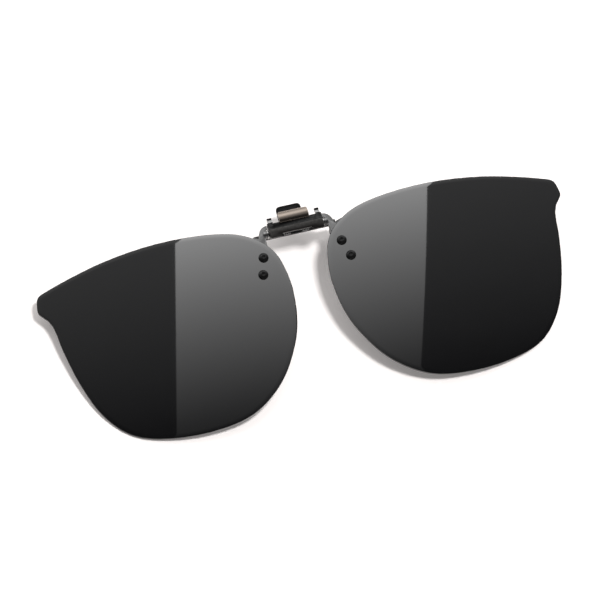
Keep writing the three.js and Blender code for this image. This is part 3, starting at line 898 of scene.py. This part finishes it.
LIGHT_AIM = (0, 0, -0.01)
KEY_LIGHT = {"power": 9.0, "size": 0.2, "place": (0.3, -1.0, 0.09)}
BACK_LIGHT = {"power": 5.0, "size": 0.5, "place": (-0.5, 0.8, 0.6)}

# Strength of the light from all round by the height of its direction, from straight down to straight up.
SKY = [(-1.0, 0.3), (-0.5, 0.03), (-0.1, 0.02), (0.05, 0.05),
       (0.5, 0.55), (0.75, 1.7), (0.92, 1.2), (1.0, 0.5)]
SKY_TOP = 2.0


def make_world(settings):
    """White behind the camera's picture; everything else sees a sky that brightens with height."""
    world = bpy.data.worlds.new("studio_world")
    bpy.context.scene.world = world
    world.use_nodes = True
    tree = world.node_tree
    tree.nodes.clear()
    new, link = tree.nodes.new, tree.links.new
    path = new("ShaderNodeLightPath")
    seen = new("ShaderNodeBackground")
    seen.inputs["Strength"].default_value = settings.white
    place = new("ShaderNodeTexCoord")
    split = new("ShaderNodeSeparateXYZ")
    link(place.outputs["Generated"], split.inputs[0])
    height = new("ShaderNodeMapRange")
    height.inputs["From Min"].default_value = -1.0
    link(split.outputs["Z"], height.inputs["Value"])
    sky = new("ShaderNodeValToRGB")
    ramp = sky.color_ramp
    while len(ramp.elements) < len(SKY):
        ramp.elements.new(0.5)
    for stop, (rise, strength) in zip(ramp.elements, SKY):
        stop.position = (rise + 1) / 2
        stop.color = (*[strength / SKY_TOP] * 3, 1)
    link(height.outputs["Result"], sky.inputs["Fac"])
    felt = new("ShaderNodeBackground")
    felt.inputs["Strength"].default_value = SKY_TOP * settings.ambient
    link(sky.outputs["Color"], felt.inputs["Color"])
    mix = new("ShaderNodeMixShader")
    link(path.outputs["Is Camera Ray"], mix.inputs["Fac"])
    link(felt.outputs[0], mix.inputs[1])
    link(seen.outputs[0], mix.inputs[2])
    end = new("ShaderNodeOutputWorld")
    link(mix.outputs[0], end.inputs["Surface"])


def set_view_look():
    """Plain display of colour, so that white paper stays white."""
    bpy.context.scene.view_settings.view_transform = "Standard"


# ---------------------------------------------------------------- add-on

class LensSettings(bpy.types.PropertyGroup):
    tint: FloatVectorProperty(name="Lens tint", description="Colour of the tinted lens", subtype="COLOR",
                              default=(0.004, 0.004, 0.0044), min=0, max=1)
    bronze: FloatVectorProperty(name="Bronze", description="Colour of the front thumb tab", subtype="COLOR",
                                default=(0.33, 0.28, 0.24), min=0, max=1)


class StudioSettings(bpy.types.PropertyGroup):
    focal: FloatProperty(name="Focal length", description="Camera lens in mm on a 36 mm sensor",
                         default=211.4, unit="CAMERA")
    white: FloatProperty(name="White", description="Strength of the white seen behind the object",
                         default=6.0)
    ambient: FloatProperty(name="Ambient", description="Strength of the light from all round", default=1.0)
    paper_glow: FloatProperty(name="Paper glow", description="Light given off by floor and backdrop",
                              default=0.2)


class FLIP_OT_lenses(bpy.types.Operator):
    """Tinted lenses with their rivets and lock washers"""
    bl_idname = "flip.lenses"
    bl_label = "Lenses and rivets"

    def execute(self, context):
        make_lenses()
        return {"FINISHED"}


class FLIP_OT_clip(bpy.types.Operator):
    """Clip base, lever, claws, springs, pin and lens brackets"""
    bl_idname = "flip.clip"
    bl_label = "Clip and brackets"

    def execute(self, context):
        make_clip()
        return {"FINISHED"}


class FLIP_OT_materials(bpy.types.Operator):
    """Finishes for every piece"""
    bl_idname = "flip.materials"
    bl_label = "Materials"

    def execute(self, context):
        make_materials(context.scene.flip_lens)
        return {"FINISHED"}


class FLIP_OT_stage(bpy.types.Operator):
    """Camera, papers, lights and the card that the lenses mirror"""
    bl_idname = "flip.stage"
    bl_label = "Studio"

    def execute(self, context):
        settings = context.scene.flip_studio
        eye = make_camera(settings)
        make_reflection_card(eye)
        make_backdrops(settings)
        make_world(settings)
        set_view_look()
        make_light("key_light", aim=LIGHT_AIM, **KEY_LIGHT)
        make_light("back_light", aim=LIGHT_AIM, **BACK_LIGHT)
        return {"FINISHED"}


class FLIP_PT_panel(bpy.types.Panel):
    bl_idname = "FLIP_PT_panel"
    bl_label = "Clip-on flip lenses"
    bl_space_type = "VIEW_3D"
    bl_region_type = "UI"
    bl_category = "Flip lenses"

    def draw(self, context):
        for operator in OPERATORS:
            self.layout.operator(operator.bl_idname)


OPERATORS = (FLIP_OT_materials, FLIP_OT_lenses, FLIP_OT_clip, FLIP_OT_stage)
CLASSES = (LensSettings, StudioSettings, *OPERATORS, FLIP_PT_panel)


def register():
    for cls in CLASSES:
        bpy.utils.register_class(cls)
    bpy.types.Scene.flip_lens = PointerProperty(type=LensSettings)
    bpy.types.Scene.flip_studio = PointerProperty(type=StudioSettings)


def unregister():
    del bpy.types.Scene.flip_studio
    del bpy.types.Scene.flip_lens
    for cls in reversed(CLASSES):
        bpy.utils.unregister_class(cls)


def main():
    register()
    bpy.ops.flip.materials()
    bpy.ops.flip.lenses()
    bpy.ops.flip.clip()
    bpy.ops.flip.stage()


if __name__ == "__main__":
    main()
